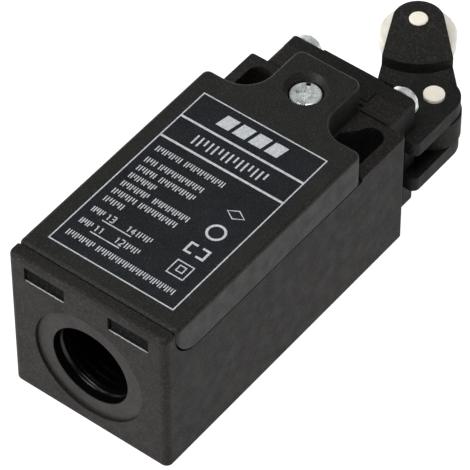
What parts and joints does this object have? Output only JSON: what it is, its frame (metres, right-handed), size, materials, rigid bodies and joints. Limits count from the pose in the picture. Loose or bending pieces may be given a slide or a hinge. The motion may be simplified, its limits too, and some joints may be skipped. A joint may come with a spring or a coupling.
{
  "type": "limit switch",
  "caption": "Moulded plastic limit switch with a screwed cover, a threaded cable entry, a plunger head and a side-pivoted roller lever.",
  "frame": {"origin": "back mounting face, midway between the two fixing holes", "axes": "+Z out of the cover, +Y along the body towards the lever head, +X to the side the lever pivots on"},
  "size_m": [0.03, 0.0935, 0.0291],
  "materials": {
    "casing_plastic": "fine-textured black moulding",
    "cover_plastic": "fine-textured black moulding",
    "head_plastic": "fine-textured black moulding",
    "lever_plastic": "fine-textured black moulding",
    "plunger_plastic": "smooth black moulding",
    "roller_plastic": "smooth ivory nylon",
    "pin_metal": "bright riveted pin",
    "zinc_steel": "bright zinc plate",
    "spring_steel": "drawn wire",
    "brass": "turned",
    "copper_alloy": "pressed strip",
    "contact_silver": "smooth silver",
    "gasket_rubber": "soft black rubber",
    "label_film": "satin printed film",
    "block_plastic": "smooth black moulding",
    "carrier_plastic": "smooth red moulding"
  },
  "bodies": {
    "body": {"casing": "casing_plastic", "cover": "cover_plastic", "cover_gasket": "gasket_rubber", "cover_screw": "zinc_steel", "cover_insert": "brass", "rating_label": "label_film", "head_housing": "head_plastic", "head_screws": "zinc_steel", "head_gasket": "gasket_rubber", "plunger_wiper": "gasket_rubber", "plunger_spring": "spring_steel", "lever_pin": "pin_metal", "contact_block": "block_plastic", "contact_block_lid": "block_plastic", "fixed_contacts": "contact_silver", "carrier_spring": "spring_steel", "closed_terminal_left": "copper_alloy", "closed_terminal_right": "copper_alloy", "open_terminal_left": "copper_alloy", "open_terminal_right": "copper_alloy", "clamp_washers": "zinc_steel", "terminal_screws": "zinc_steel"},
    "lever_arm": {"lever": "lever_plastic", "roller_pin": "pin_metal"},
    "roller_wheel": {"roller": "roller_plastic"},
    "plunger_train": {"plunger": "plunger_plastic", "contact_carrier": "carrier_plastic", "closed_bridge": "copper_alloy", "open_bridge": "copper_alloy", "moving_contacts": "contact_silver", "bridge_springs": "spring_steel"}
  },
  "joints": [
    {"name": "lever_pivot", "type": "hinge", "parent": "body", "child": "lever_arm", "pos_m": [0.0104, 0.0191, 0.0122], "axis": [0, 0, 1], "range_deg": [0, 22], "stiffness_Nm_per_rad": 0.1, "springref_deg": -17.19},
    {"name": "plunger_slide", "type": "slide", "parent": "body", "child": "plunger_train", "axis": [0, -1, 0], "range_m": [0, 0.0044], "deforming": ["plunger_spring", "carrier_spring"]},
    {"name": "roller_spin", "type": "hinge", "parent": "lever_arm", "child": "roller_wheel", "pos_m": [-0.00215, 0.03235, 0.0122], "axis": [0, 0, 1], "continuous": true}
  ],
  "couplings": [
    {"joint": "plunger_slide", "follows": "lever_pivot", "m_per_rad": 0.0114}
  ]
}
